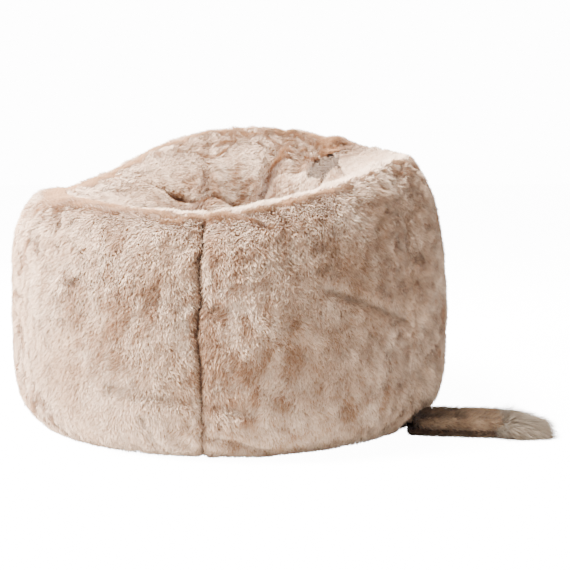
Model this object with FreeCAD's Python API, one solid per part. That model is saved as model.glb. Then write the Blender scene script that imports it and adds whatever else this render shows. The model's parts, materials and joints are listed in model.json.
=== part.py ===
"""A fur-covered bean bag chair: six gore panels round an inner liner of beads, with a drag strap.

Millimetres. The origin is the middle of the base on the floor, +Z is up and the front faces -Y.
Every layer of the bag follows one surface, skin_point, at its own depth below the tips of the pile.
"""

import FreeCAD, Part
import math
import os

VECTOR = FreeCAD.Vector

# The bag's outer form, to the tips of the pile
body_radius = 502.0          # half the width at the widest height
base_radius = 432.0          # ring where the wall meets the base
crest_radius = 400.0         # ring along the top of the rim
widest_height = 165.0        # height of the widest ring
front_rim_height = 500.0
rear_rim_height = 674.0
right_rim_height = 610.0
left_rim_height = 516.0
rear_rim_peak = 20.0         # how much the rear of the rim gathers into a peak
seat_depth = 172.0           # how far the seat sinks below the rim around it
crown_x = 238.0              # where the six gores meet, on the slope of the backrest
crown_y = 165.0
crown_radius = 45.0
foot_squareness = 3.0        # 2 is an ellipse, more is squarer
right_squareness = 2.0       # the same for the shoulder, which is slack on the right
left_squareness = 3.4        # and full on the left
hem_lift = 1.5               # gap between the lowest pile and the floor

# Gores
gore_count = 6
ribs_per_gore = 5
first_seam_azimuth = -97.0
seam_gap = 3.4               # between neighbouring gores
cover_thickness = 14.0       # backing and pile
binding_width = 14.0
binding_thickness = 1.2

# Inner liner and filling
layer_gap = 1.6              # between a layer and the one outside it
liner_thickness = 1.2
groove_play = 2.0            # between the filling and the liner's zip
crown_patch_gap = 1.0
dome_step = 12.0             # degrees between the ribs that shape the liner and the filling

# Base
base_panel_thickness = 2.5
welt_radius = 3.5
welt_gap = 1.0

# Zips: one across the cover's base, one across the liner's base
cover_zip_length = 560.0
cover_zip_y = 60.0           # where each zip crosses the base
liner_zip_length = 420.0
liner_zip_y = -110.0
zip_slot_half_width = 8.0
tape_thickness = 0.6
tape_reach = 24.0            # from the zip's centre line to the tape's outer edge
coil_width = 2.5
coil_height = 2.6
coil_half_gap = 0.7
tape_coil_gap = 0.05         # between a tape's edge and its coil
tape_step = 1.0              # from the zip's slot to where its tape steps down
coil_rounding = 0.3          # share of the coil's height
slider_length = 16.0
slider_half_width = 5.5
slider_plate = 1.1
slider_gap = 0.3
slider_lift = 1.2            # below the slider, for the pin that its pull swings on
slider_post_half_width = 0.35
slider_post_length = 3.0
slider_parking = 1.0         # between the slider and the stop when the zip is closed
stop_length = 5.0
stop_wrap = 0.4              # how far a stop stands over the coils, all round
stop_gap = 0.1
pull_length = 26.0
pull_width = 7.0
pull_thickness = 1.4
pull_pin_radius = 0.6
pull_pin_gap = 0.35
pull_eye_wall = 0.45
pull_pin_inset = 3.0         # from the slider's end to the pin
pull_neck_length = 6.0
pull_shoulder = 1.0          # how much narrower the neck is than the tab, on each side
pull_corner = 1.5
grip_hole_radius = 1.6
grip_hole_inset = 4.5        # from the end of the pull to the middle of its hole
lug_thickness = 1.2
lug_half_length = 1.5
lug_drop = 1.1               # below the pin's axis
lug_weld = 0.2               # how far a lug runs into the slider

# Drag strap: a doubled band of fur sewn into the seam at the front right
strap_azimuth = -9.0         # the way it lies on the floor
strap_seam = 1               # number of the seam that it is sewn into
strap_width = 94.0
strap_ply_thickness = 14.0
strap_webbing_width = 50.0
strap_webbing_thickness = 3.0
strap_seat = 7.0             # how deep the webbing is held in the seam
strap_neck = 34.0            # webbing left bare beyond the bag's widest ring
strap_hinge_gap = 2.0        # play where the strap bends when it is lifted
strap_ply_length = 118.0
strap_fold_length = 24.0
strap_tip_length = 88.0
strap_tip_width = 58.0
strap_gap = 0.5
strap_corner = 5.0
webbing_corner = 1.0
webbing_end_inset = 2.0      # from the webbing's far end to the end of the plies
strap_play = 0.3             # round the webbing in the seam
tip_root_inset = 2.0         # how much narrower the tip starts than the strap, on each side
tip_middle_spread = 18.0     # how much wider the tip is halfway along than its stated width
tip_middle_height = 0.8      # share of the strap's height, halfway along
tip_end_narrowing = 22.0
tip_end_height = 0.35

# Care label, sewn into the base seam at the back
label_length = 46.0
label_width = 34.0
label_thickness = 0.8
label_tuck = 3.0             # how far it runs into the base seam
floor_gap = 0.2              # below the piping and the label

WIDEST = 1.0                 # stations: 0 at the hem, 1 at the widest ring, 2 on the crest,
CREST = 2.0                  # and 3 at the crown
CROWN = 3.0
steps_per_station = 11


def rim_rise(turn, share):
    """Height of the slack sheet that the rim spans.

    turn is an angle in radians from +X, and share is 0 at the middle and 1 on the rim.
    """
    middle = (front_rim_height + rear_rim_height + right_rim_height + left_rim_height) / 4
    across = (right_rim_height - left_rim_height) / 2
    along = (rear_rim_height - front_rim_height) / 2 - rear_rim_peak
    saddle = (right_rim_height + left_rim_height - front_rim_height - rear_rim_height) / 4
    lean = across * math.cos(turn) + along * math.sin(turn)
    peak = rear_rim_peak * math.cos(3 * (turn - math.pi / 2))
    return middle + share * lean + share**2 * saddle * math.cos(2 * turn) + share**3 * peak


def seat_height(x, y):
    """Height of the top of the bag above a point inside the crest."""
    share = math.hypot(x, y) / crest_radius
    sunk = max(0.0, 1.0 - share**2)
    return rim_rise(math.atan2(y, x), share) - seat_depth * sunk**1.5


def squared_arc(turn, squareness):
    """How far in and how far up a squared quarter ellipse is at an angle from its foot."""
    power = 2.0 / squareness
    return math.cos(turn) ** power, math.sin(turn) ** power


def shoulder_squareness(turn):
    """Squareness of the shoulder at an angle from +X."""
    middle = (left_squareness + right_squareness) / 2
    return middle + (right_squareness - left_squareness) / 2 * math.cos(turn)


def foot_bulge(station):
    """How far out and how far up the wall is below its widest ring."""
    back, out = squared_arc(station * math.pi / 2, foot_squareness)
    return base_radius + (body_radius - base_radius) * out, hem_lift + widest_height * (1.0 - back)


def outline_point(azimuth, station):
    """A point on the bag's outer surface."""
    turn = math.radians(azimuth)
    across = VECTOR(math.cos(turn), math.sin(turn), 0)
    if station <= WIDEST:
        radius, height = foot_bulge(station)
        return across * radius + VECTOR(0, 0, height)
    if station <= CREST:
        rest = min((station - WIDEST) * math.pi / 2, math.pi / 2)
        out, rise = squared_arc(rest, shoulder_squareness(turn))
        radius = crest_radius + (body_radius - crest_radius) * out
        low = widest_height + hem_lift
        return across * radius + VECTOR(0, 0, low + (rim_rise(turn, 1.0) - low) * rise)
    share = station - CREST
    ring = VECTOR(crown_x, crown_y, 0) + across * crown_radius
    flat = across * (crest_radius * (1.0 - share)) + ring * share
    return VECTOR(flat.x, flat.y, seat_height(flat.x, flat.y))


def outline_normal(azimuth, station):
    """Outward unit normal of the bag's outer surface."""
    if station <= 0.0:
        return VECTOR(0, 0, -1)
    step = 0.02
    later = outline_point(azimuth, min(station + step, CROWN))
    earlier = outline_point(azimuth, station - step)
    round_it = outline_point(azimuth + 1.0, station) - outline_point(azimuth - 1.0, station)
    normal = round_it.cross(later - earlier)
    return normal / normal.Length


def crown_normal():
    """Upward unit normal of the bag's top at the crown."""
    step = 5.0
    slope_x = (seat_height(crown_x + step, crown_y) - seat_height(crown_x - step, crown_y)) / (2 * step)
    slope_y = (seat_height(crown_x, crown_y + step) - seat_height(crown_x, crown_y - step)) / (2 * step)
    normal = VECTOR(-slope_x, -slope_y, 1)
    return normal / normal.Length


def crown_point(azimuth, radius, depth):
    """A point in the flat round crown, at a radius from its middle."""
    normal = crown_normal()
    turn = math.radians(azimuth)
    flat = VECTOR(math.cos(turn) * radius, math.sin(turn) * radius, 0)
    rise = -(normal.x * flat.x + normal.y * flat.y) / normal.z
    middle = VECTOR(crown_x, crown_y, seat_height(crown_x, crown_y))
    return middle + flat + VECTOR(0, 0, rise) - normal * depth


def skin_point(azimuth, station, depth):
    """A point of the layer that lies a depth below the tips of the pile."""
    if station >= CROWN:
        return crown_point(azimuth, crown_radius, depth)
    return outline_point(azimuth, station) - outline_normal(azimuth, station) * depth


def girth_radius(station):
    """Radius of the ring at a station, about its own middle."""
    if station <= CREST:
        return (outline_point(0.0, station) - VECTOR(0, 0, outline_point(0.0, station).z)).Length
    share = station - CREST
    return crest_radius * (1.0 - share) + crown_radius * share


def stations():
    """Stations from the hem to the crown, closer together where the outline turns."""
    places = []
    for start in (0.0, WIDEST, CREST):
        for k in range(steps_per_station):
            places.append(start + (1.0 - math.cos(math.pi * k / steps_per_station)) / 2)
    return places + [CROWN]


def rib_parameters():
    """Lengths along the outline at its front, one for each station."""
    points = [outline_point(-90.0, station) for station in stations()]
    total = [0.0]
    for earlier, later in zip(points, points[1:]):
        total.append(total[-1] + (later - earlier).Length)
    return total


def layer_face(columns, depth, spread, closed=False):
    """One curved face of a layer: ribs up the bag, joined by smooth curves round it.

    spread turns a column and a station into the azimuth there. A closed face goes all the way
    round, and its last column leads back to its first.
    """
    ribs = []
    for column in columns:
        rib = Part.BSplineCurve()
        points = [skin_point(spread(column, s), s, depth) for s in stations()]
        rib.interpolate(Points=points, Parameters=rib_parameters())
        ribs.append(rib)
    turns = [float(k) for k in range(len(columns) + (1 if closed else 0))]
    rows = []
    for k in range(ribs[0].NbPoles):
        row = Part.BSplineCurve()
        row.interpolate(Points=[rib.getPole(k + 1) for rib in ribs], Parameters=turns, PeriodicFlag=closed)
        rows.append(row)
    poles = [[row.getPole(k + 1) for row in rows] for k in range(rows[0].NbPoles)]
    surface = Part.BSplineSurface()
    surface.buildFromPolesMultsKnots(
        poles, rows[0].getMultiplicities(), ribs[0].getMultiplicities(), rows[0].getKnots(),
        ribs[0].getKnots(), closed, False, rows[0].Degree, ribs[0].Degree)
    return surface.toShape()


def solid_from(faces):
    """A closed solid from faces that meet, turned so that its volume is positive."""
    sheet = Part.Compound(faces)
    sheet.sewShape(0.01)
    solid = Part.Solid(sheet.Shells[0])
    if solid.Volume < 0:
        solid.reverse()
    return solid


def strip_between(edge, other):
    """The ruled wall between two edges that run the same way."""
    return Part.makeRuledSurface(edge, other, 1)


def patch_solid(columns, outer_depth, inner_depth, spread):
    """A layer over part of the bag, closed by ruled walls along its four edges."""
    outer = layer_face(columns, outer_depth, spread)
    inner = layer_face(columns, inner_depth, spread)
    walls = [strip_between(a, b) for a, b in zip(outer.Edges, inner.Edges)]
    return solid_from([outer, inner] + walls)


def dome_faces(depth):
    """The layer at a depth all the way round: its wall, its crown and the ring at its foot."""
    columns = [first_seam_azimuth + dome_step * k for k in range(int(360.0 / dome_step))]
    wall = layer_face(columns, depth, lambda column, station: column, True)
    rings = sorted((e for e in wall.Edges if e.isClosed()), key=lambda e: e.BoundBox.ZMin)
    return wall, Part.Face(Part.Wire(rings[1:])), rings[0]


def dome_solid(outer_depth, inner_depth):
    """A shell all the way round the bag, closed at the crown and open below."""
    outer, outer_crown, outer_foot = dome_faces(outer_depth)
    inner, inner_crown, inner_foot = dome_faces(inner_depth)
    return solid_from([outer, outer_crown, inner, inner_crown, strip_between(outer_foot, inner_foot)])


def bulk_solid(depth):
    """Everything inside the layer at a depth, flat below and at the crown."""
    wall, crown, foot = dome_faces(depth)
    return solid_from([wall, crown, Part.Face(Part.Wire([foot]))])


def even_strip(middle, half_width):
    """Azimuths of the edges of a strip of even width that runs up a seam."""
    def where(side, station):
        return middle + side * math.degrees(half_width / girth_radius(station))
    return where


def gore_panel(number, hem_cut):
    """One of the cover's six gores, from the hem over the rim to the crown."""
    start = first_seam_azimuth + 360.0 / gore_count * number
    width = 360.0 / gore_count

    def where(share, station):
        edge = math.degrees(seam_gap / 2 / girth_radius(station))
        return start + edge + (width - 2 * edge) * share

    gore = patch_solid([k / ribs_per_gore for k in range(ribs_per_gore + 1)], 0.0, cover_thickness, where)
    return gore.cut(hem_cut) if hem_cut else gore


def seam_bindings():
    """The tapes that bind the seam allowances inside the cover."""
    strips = []
    for number in range(gore_count):
        middle = first_seam_azimuth + 360.0 / gore_count * number
        where = even_strip(middle, binding_width / 2)
        top = cover_thickness + layer_gap
        strips.append(patch_solid([-1.0, 0.0, 1.0], top, top + binding_thickness, where))
    return Part.Compound(strips)


def liner_depth():
    """Depth of the liner's outer face below the tips of the pile."""
    return cover_thickness + binding_thickness + 2 * layer_gap


def crown_patch():
    """The round piece of fur that closes the crown of the cover."""
    middle = crown_point(0, 0, cover_thickness)
    return Part.makeCylinder(crown_radius - crown_patch_gap, cover_thickness, middle, crown_normal())


def box(low, high):
    """A box between two corners."""
    size = VECTOR(*high) - VECTOR(*low)
    return Part.makeBox(size.x, size.y, size.z, VECTOR(*low))


def zip_slot(length, offset, low, high):
    """The slot that a zip leaves between two pieces of a base."""
    half = zip_slot_half_width
    return box((-length / 2, offset - half, low), (length / 2, offset + half, high))


def base_disc(radius, low, thickness):
    """A flat disc of base cloth."""
    return Part.makeCylinder(radius, thickness, VECTOR(0, 0, low))


def base_panel(side):
    """One part of the cover's base: side -1 is in front of the zip and 1 is behind it."""
    radius = base_radius - 2 * welt_radius - 2 * welt_gap
    disc = base_disc(radius, 0.0, base_panel_thickness)
    edge = cover_zip_y + side * seam_gap / 2
    far = side * 2 * radius
    keep = box((-radius - 1, min(edge, far), -1), (radius + 1, max(edge, far), base_panel_thickness + 1))
    return disc.common(keep).cut(zip_slot(cover_zip_length, cover_zip_y, -1, base_panel_thickness + 1))


def base_welt():
    """The dark piping that joins the base to the gores."""
    ring = base_radius - welt_gap - welt_radius
    return Part.makeTorus(ring, welt_radius, VECTOR(0, 0, welt_radius + floor_gap))


def coil_low(base_top):
    """Height of the underside of a zip's coils above the cloth that it is sewn to."""
    return base_top + slider_plate + slider_gap + slider_lift


def zip_tape(length, offset, base_top, side):
    """One woven tape: flat on the base, then stepped up to its coil."""
    near = coil_half_gap + coil_width + tape_coil_gap
    level = coil_low(base_top) + coil_height / 2 - tape_thickness / 2
    step_in = zip_slot_half_width + tape_step
    step_out = step_in + level - base_top
    t = tape_thickness
    outline = [(near, level), (step_in, level), (step_out, base_top), (tape_reach, base_top),
               (tape_reach, base_top + t), (step_out + t / 2, base_top + t),
               (step_in + t / 2, level + t), (near, level + t)]
    points = [VECTOR(-length / 2, offset + side * y, z) for y, z in outline]
    face = Part.Face(Part.makePolygon(points + points[:1]))
    return face.extrude(VECTOR(length, 0, 0))


def zip_coil(length, offset, base_top, side):
    """One row of closed coils along the inner edge of a tape."""
    low = coil_low(base_top)
    inner = offset + side * coil_half_gap
    outer = offset + side * (coil_half_gap + coil_width)
    bar = box((-length / 2, min(inner, outer), low), (length / 2, max(inner, outer), low + coil_height))
    edges = [e for e in bar.Edges if abs(e.Vertexes[0].X - e.Vertexes[1].X) > length / 2]
    return bar.makeFillet(coil_height * coil_rounding, edges)


def slider_start(length):
    """Where the slider's middle is when the zip is closed."""
    return length / 2 - stop_length - slider_length / 2 - slider_parking


def zip_slider(length, offset, base_top, with_lugs):
    """The slider: two plates and the post between the coils."""
    low = coil_low(base_top)
    x = slider_start(length)
    half = slider_length / 2
    under = low - slider_gap - slider_plate
    over = low + coil_height + slider_gap
    near, far = offset - slider_half_width, offset + slider_half_width
    plates = [box((x - half, near, z), (x + half, far, z + slider_plate)) for z in (under, over)]
    slab = coil_low(base_top) + coil_height / 2
    flange_in = coil_half_gap + coil_width + slider_gap
    rails = []
    for side in (-1, 1):
        a = offset + side * flange_in
        b = offset + side * slider_half_width
        for z0, z1 in ((under, slab - tape_thickness), (slab + tape_thickness, over + slider_plate)):
            rails.append(box((x - half, min(a, b), z0), (x + half, max(a, b), z1)))
    post = box((x + half - slider_post_length, offset - slider_post_half_width, under),
               (x + half, offset + slider_post_half_width, over + slider_plate))
    pieces = plates[1:] + rails + [post]
    if with_lugs:
        pieces += pull_lugs(x, offset, under)
    return plates[0].fuse(pieces).removeSplitter()


def pull_pin_place(x, under):
    """The middle of the pin that the pull swings on."""
    return VECTOR(x + slider_length / 2 - pull_pin_inset, 0, under - pull_eye_radius() - slider_gap)


def pull_eye_radius():
    """Outer radius of the eye at the root of the pull."""
    return pull_pin_radius + pull_pin_gap + pull_eye_wall


def pull_lugs(x, offset, under):
    """The two lugs below the slider and the pin that they carry."""
    pin = pull_pin_place(x, under)
    reach = pull_width / 2 - pull_shoulder
    lugs = []
    for side in (-1, 1):
        a = offset + side * reach
        b = offset + side * (reach + lug_thickness)
        lugs.append(box((pin.x - lug_half_length, min(a, b), pin.z - lug_drop),
                        (pin.x + lug_half_length, max(a, b), under + lug_weld)))
    span = reach + lug_thickness / 2
    lugs.append(Part.makeCylinder(pull_pin_radius, 2 * span, VECTOR(pin.x, offset - span, pin.z),
                                  VECTOR(0, 1, 0)))
    return lugs


def zip_pull(length, offset, base_top):
    """The flat pull that hangs from the slider's pin and lies back along the zip."""
    under = coil_low(base_top) - slider_gap - slider_plate
    pin = pull_pin_place(slider_start(length), under)
    half = pull_width / 2 - pull_shoulder - pull_pin_gap
    across = VECTOR(0, 1, 0)
    eye = Part.makeCylinder(pull_eye_radius(), 2 * half, VECTOR(pin.x, -half, pin.z), across)
    low = pin.z - pull_thickness / 2
    high = low + pull_thickness
    neck = box((pin.x - pull_neck_length, -half, low), (pin.x, half, high))
    tab_end = pin.x - pull_neck_length + pull_shoulder
    tab = box((pin.x - pull_length, -pull_width / 2, low), (tab_end, pull_width / 2, high))
    corners = [e for e in tab.Edges if abs(e.Vertexes[0].Z - e.Vertexes[1].Z) > pull_thickness / 2]
    tab = tab.makeFillet(pull_corner, corners)
    grip = Part.makeCylinder(grip_hole_radius, 3 * pull_thickness,
                             VECTOR(pin.x - pull_length + grip_hole_inset, 0, low - pull_thickness))
    bore = pull_pin_radius + pull_pin_gap
    hole = Part.makeCylinder(bore, 2 * half + 2, VECTOR(pin.x, -half - 1, pin.z), across)
    pull = eye.fuse([neck, tab]).cut(hole).cut(grip).removeSplitter()
    pull.translate(VECTOR(0, offset, 0))
    return pull


def zip_stops(length, offset, base_top):
    """The stops at the two ends of a zip's coils."""
    low = coil_low(base_top) - stop_wrap
    half = coil_half_gap + coil_width + stop_wrap
    stops = []
    for end in (-1, 1):
        a = end * (length / 2 + stop_gap)
        b = end * (length / 2 + stop_length - stop_wrap)
        high = low + coil_height + 2 * stop_wrap
        stops.append(box((min(a, b), offset - half, low), (max(a, b), offset + half, high)))
    return Part.Compound(stops)


def strap_seam_turn():
    """Direction of the seam that the strap is sewn into, in radians."""
    return math.radians(first_seam_azimuth + 360.0 / gore_count * strap_seam)


def strap_frame():
    """Placement of the strap: u runs out along it, v across it and w up."""
    seam = strap_seam_turn()
    root = VECTOR(base_radius * math.cos(seam), base_radius * math.sin(seam), 0)
    return FreeCAD.Placement(root, FreeCAD.Rotation(VECTOR(0, 0, 1), strap_azimuth))


def strap_reach(radius):
    """How far along the strap it passes a radius from the bag's middle."""
    slant = math.cos(strap_seam_turn() - math.radians(strap_azimuth))
    return (radius - base_radius) / slant


def strap_root():
    """Where the webbing starts, inside the seam at its own height."""
    height = strap_levels()[1]
    station = 0.0
    while foot_bulge(station)[1] < height:
        station += 0.005
    return strap_reach(foot_bulge(station)[0] - strap_seat)


def strap_hinge():
    """Where the strap bends when it is lifted."""
    return strap_reach(body_radius) + strap_neck


def strap_levels():
    """Heights of the faces of the strap's layers, from the floor up."""
    lower = hem_lift
    webbing = lower + strap_ply_thickness + strap_gap
    upper = webbing + strap_webbing_thickness + strap_gap
    return lower, webbing, upper, upper + strap_ply_thickness


def strap_block(start, end, width, low, high, corner):
    """A length of the strap with rounded corners along it."""
    block = box((start, -width / 2, low), (end, width / 2, high))
    along = [e for e in block.Edges if abs(e.Vertexes[0].X - e.Vertexes[1].X) > 0.5]
    block = block.makeFillet(corner, along)
    block.Placement = strap_frame()
    return block


def strap_pieces():
    """The strap's plies, webbing, rolled fold and long-haired tip."""
    lower, webbing, upper, top = strap_levels()
    hinge = strap_hinge()
    ply_start = hinge + 2 * strap_hinge_gap
    ply_end = ply_start + strap_ply_length
    fold_start = ply_end + strap_gap
    fold_end = fold_start + strap_fold_length
    tip_start = fold_end + strap_gap
    pieces = {
        "strap_lower_ply": strap_block(ply_start, ply_end, strap_width, lower,
                                       lower + strap_ply_thickness, strap_corner),
        "strap_upper_ply": strap_block(ply_start, ply_end, strap_width, upper, top, strap_corner),
        "strap_webbing": strap_block(hinge + strap_hinge_gap, ply_end - webbing_end_inset,
                                     strap_webbing_width, webbing,
                                     webbing + strap_webbing_thickness, webbing_corner),
        "strap_fold": strap_block(fold_start, fold_end, strap_width, lower, top, 2 * strap_corner),
        "strap_tip": strap_tip(tip_start, lower, top),
        "strap_anchor": strap_block(strap_root(), hinge, strap_webbing_width, webbing,
                                    webbing + strap_webbing_thickness, webbing_corner),
    }
    return pieces


def strap_tip(start, low, high):
    """The tapering end of the strap, where its pile is longest."""
    end = start + strap_tip_length
    sections = []
    full = high - low
    middle = (start + end) / 2
    for place, width, height in (
            (start, strap_width - 2 * tip_root_inset, full),
            (middle, strap_tip_width + tip_middle_spread, tip_middle_height * full),
            (end, strap_tip_width - tip_end_narrowing, tip_end_height * full)):
        ring = [VECTOR(place, width / 2 * math.cos(a), low + height / 2 + height / 2 * math.sin(a))
                for a in (math.radians(30.0 * k) for k in range(12))]
        curve = Part.BSplineCurve()
        curve.interpolate(ring, PeriodicFlag=True)
        sections.append(Part.Wire([curve.toShape()]))
    tip = Part.makeLoft(sections, True, False)
    tip.Placement = strap_frame()
    return tip


def strap_slot():
    """The slot between two gores that the strap's webbing comes out of."""
    webbing = strap_levels()[1]
    half = strap_webbing_width / 2 + strap_play
    start = strap_root() - strap_play
    end = strap_reach(body_radius) + strap_width / 2
    slot = box((start, -half, webbing - strap_play),
               (end, half, webbing + strap_webbing_thickness + strap_play))
    slot.Placement = strap_frame()
    return slot


def care_label():
    """A blank label that lies under the bulge at the back, held in the base seam."""
    seam = first_seam_azimuth + 360.0 / gore_count * 3
    near = base_radius - label_tuck
    label = box((near, -label_width / 2, floor_gap),
                (near + label_length, label_width / 2, floor_gap + label_thickness))
    label.rotate(VECTOR(0, 0, 0), VECTOR(0, 0, 1), seam)
    return label.cut(base_welt())


def zip_group(prefix, length, offset, base_top, with_pull):
    """All the pieces of one zip, by node name."""
    group = {}
    for side, place in ((-1, "front"), (1, "rear")):
        group[prefix + "_zip_tape_" + place] = zip_tape(length, offset, base_top, side)
        group[prefix + "_zip_coil_" + place] = zip_coil(length, offset, base_top, side)
    group[prefix + "_zip_slider"] = zip_slider(length, offset, base_top, with_pull)
    group[prefix + "_zip_stops"] = zip_stops(length, offset, base_top)
    if with_pull:
        group[prefix + "_zip_pull"] = zip_pull(length, offset, base_top)
    return group


def liner_pieces():
    """The inner liner: its wall, its base with a zip, and the beads that it holds."""
    outer = liner_depth()
    inner = outer + liner_thickness
    low = hem_lift + outer
    top = low + liner_thickness
    fill_depth = inner + layer_gap
    radius = base_radius - layer_gap
    groove_half = tape_reach + groove_play
    groove_top = coil_low(top) + coil_height + slider_gap + slider_plate + groove_play
    groove_end = liner_zip_length / 2 + stop_length + groove_play
    groove = box((-groove_end, liner_zip_y - groove_half, 0.0),
                 (groove_end, liner_zip_y + groove_half, groove_top))
    pieces = {
        "liner_wall": dome_solid(outer, inner),
        "liner_base": base_disc(radius, low, liner_thickness).cut(
            zip_slot(liner_zip_length, liner_zip_y, low - 1, top + 1)),
        "bead_fill": bulk_solid(fill_depth).cut(groove),
    }
    pieces.update(zip_group("liner", liner_zip_length, liner_zip_y, top, False))
    return pieces


def cover_pieces():
    """The outer cover: gores, crown, seam bindings, welt and base."""
    places = ["front_right", "right", "rear_right", "rear_left", "left", "front_left"]
    gores = []
    for number in range(gore_count):
        beside_strap = number in (strap_seam - 1, strap_seam)
        gores.append(gore_panel(number, strap_slot() if beside_strap else None))
    # Under a sharp rim the inner faces of two gores can meet, so each gore is trimmed by the next.
    pieces = {"cover_panel_" + place: gores[number].cut(gores[(number + 1) % gore_count])
              for number, place in enumerate(places)}
    pieces["crown_patch"] = crown_patch()
    pieces["seam_bindings"] = seam_bindings()
    pieces["base_welt"] = base_welt()
    pieces["base_panel_front"] = base_panel(-1)
    pieces["base_panel_rear"] = base_panel(1)
    pieces["care_label"] = care_label()
    pieces.update(zip_group("cover", cover_zip_length, cover_zip_y, base_panel_thickness, True))
    return pieces


def main():
    """Build every piece and write one file for each."""
    os.makedirs("parts", exist_ok=True)
    pieces = {}
    pieces.update(cover_pieces())
    pieces.update(liner_pieces())
    pieces.update(strap_pieces())
    for name, shape in pieces.items():
        shape.exportStep("parts/" + name + ".step")
        low, high = shape.BoundBox.ZMin, shape.BoundBox.ZMax
        print(name, "valid" if shape.isValid() else "NOT VALID", round(shape.Volume / 1000.0, 2), "cm3",
              round(low, 2), round(high, 2))


main()
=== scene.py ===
"""Looks of a round faux-fur bean bag chair: a six-gore plush cover, a dished seat, a doubled drag strap.

Every piece is built around the fixed CAD frame, in metres, +Z up, with the origin on the floor under
the middle of the base.
"""

import json
import logging
import math
from dataclasses import dataclass
from enum import Enum

import bmesh
import bpy
import numpy as np
from bpy.types import Material, Mesh, Node, NodeSocket, NodeTree, Object
from mathutils import Matrix, Vector, noise

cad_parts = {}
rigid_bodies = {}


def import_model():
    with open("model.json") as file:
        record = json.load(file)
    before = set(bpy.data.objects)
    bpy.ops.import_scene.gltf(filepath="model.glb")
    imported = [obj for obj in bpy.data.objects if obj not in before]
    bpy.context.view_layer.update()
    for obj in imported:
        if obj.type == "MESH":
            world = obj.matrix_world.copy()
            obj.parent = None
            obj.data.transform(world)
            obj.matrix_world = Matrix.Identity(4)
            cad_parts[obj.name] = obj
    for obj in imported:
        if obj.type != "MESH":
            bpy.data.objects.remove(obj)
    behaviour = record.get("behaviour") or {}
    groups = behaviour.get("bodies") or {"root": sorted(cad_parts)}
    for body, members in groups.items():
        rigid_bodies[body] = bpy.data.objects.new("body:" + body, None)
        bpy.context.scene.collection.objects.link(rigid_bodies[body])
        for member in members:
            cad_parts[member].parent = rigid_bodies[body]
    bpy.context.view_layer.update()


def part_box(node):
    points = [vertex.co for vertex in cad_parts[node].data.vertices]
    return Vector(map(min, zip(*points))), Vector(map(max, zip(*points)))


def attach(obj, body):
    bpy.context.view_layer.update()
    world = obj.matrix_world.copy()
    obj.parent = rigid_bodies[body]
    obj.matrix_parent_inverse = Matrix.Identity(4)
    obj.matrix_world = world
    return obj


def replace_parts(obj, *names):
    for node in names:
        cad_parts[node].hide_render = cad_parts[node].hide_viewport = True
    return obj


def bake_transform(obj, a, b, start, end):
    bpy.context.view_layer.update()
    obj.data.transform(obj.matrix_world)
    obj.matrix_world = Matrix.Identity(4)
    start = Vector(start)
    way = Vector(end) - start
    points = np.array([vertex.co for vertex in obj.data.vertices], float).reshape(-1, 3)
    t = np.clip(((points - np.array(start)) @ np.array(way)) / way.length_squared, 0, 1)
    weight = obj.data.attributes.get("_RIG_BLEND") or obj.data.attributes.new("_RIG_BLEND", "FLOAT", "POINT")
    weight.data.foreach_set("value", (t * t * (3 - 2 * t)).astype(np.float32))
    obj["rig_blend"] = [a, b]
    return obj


Array = np.ndarray
Colour = tuple[float, float, float, float]
Band = tuple[float, float] | None

LOG = logging.getLogger("bean_bag")
# Depth of a hollow at which its painted shade is full.
FULL_SHADE_DEPTH = 0.055
LOWEST_PILE = 0.0006
BAND_SCALE = 0.31


class Slot(Enum):
    """The record's material slots."""

    FUR = "fur"
    FUR_STRAP = "fur_strap"
    FUR_TIP = "fur_tip"
    BASE = "base_cloth"
    PIPING = "piping"
    BINDING = "binding"
    TAPE = "zip_tape"
    COIL = "zip_coil"
    METAL = "zip_metal"
    LINER = "liner_cloth"
    BEADS = "beads"
    WEBBING = "webbing"
    LABEL = "label"


def linear(red: int, green: int, blue: int) -> Colour:
    """Turn an 8-bit display colour into a scene-linear one.

    Args:
        red, green, blue: channels from 0 to 255.

    Returns:
        The linear colour with full alpha.
    """
    channels = [c / 255 for c in (red, green, blue)]
    return (*[c / 12.92 if c <= 0.04045 else ((c + 0.055) / 1.055) ** 2.4 for c in channels], 1.0)


def smooth(edge0: float, edge1: float, value: Array) -> Array:
    """Hermite step from 0 at edge0 to 1 at edge1."""
    share = np.clip((value - edge0) / (edge1 - edge0), 0.0, 1.0)
    return share * share * (3 - 2 * share)


def grain(points: Array, cell: float, shift: float = 0.0) -> Array:
    """Smooth noise from -1 to 1 at each point.

    Args:
        points: (n, 3) places in metres.
        cell: size of one lump, in metres.
        shift: moves the pattern, so that two fields differ.

    Returns:
        n values.
    """
    offset = Vector((shift, shift * 1.7, -shift))
    return np.array([noise.noise(Vector(p) / cell + offset) for p in points])


# ---- outline of the bag


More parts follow.
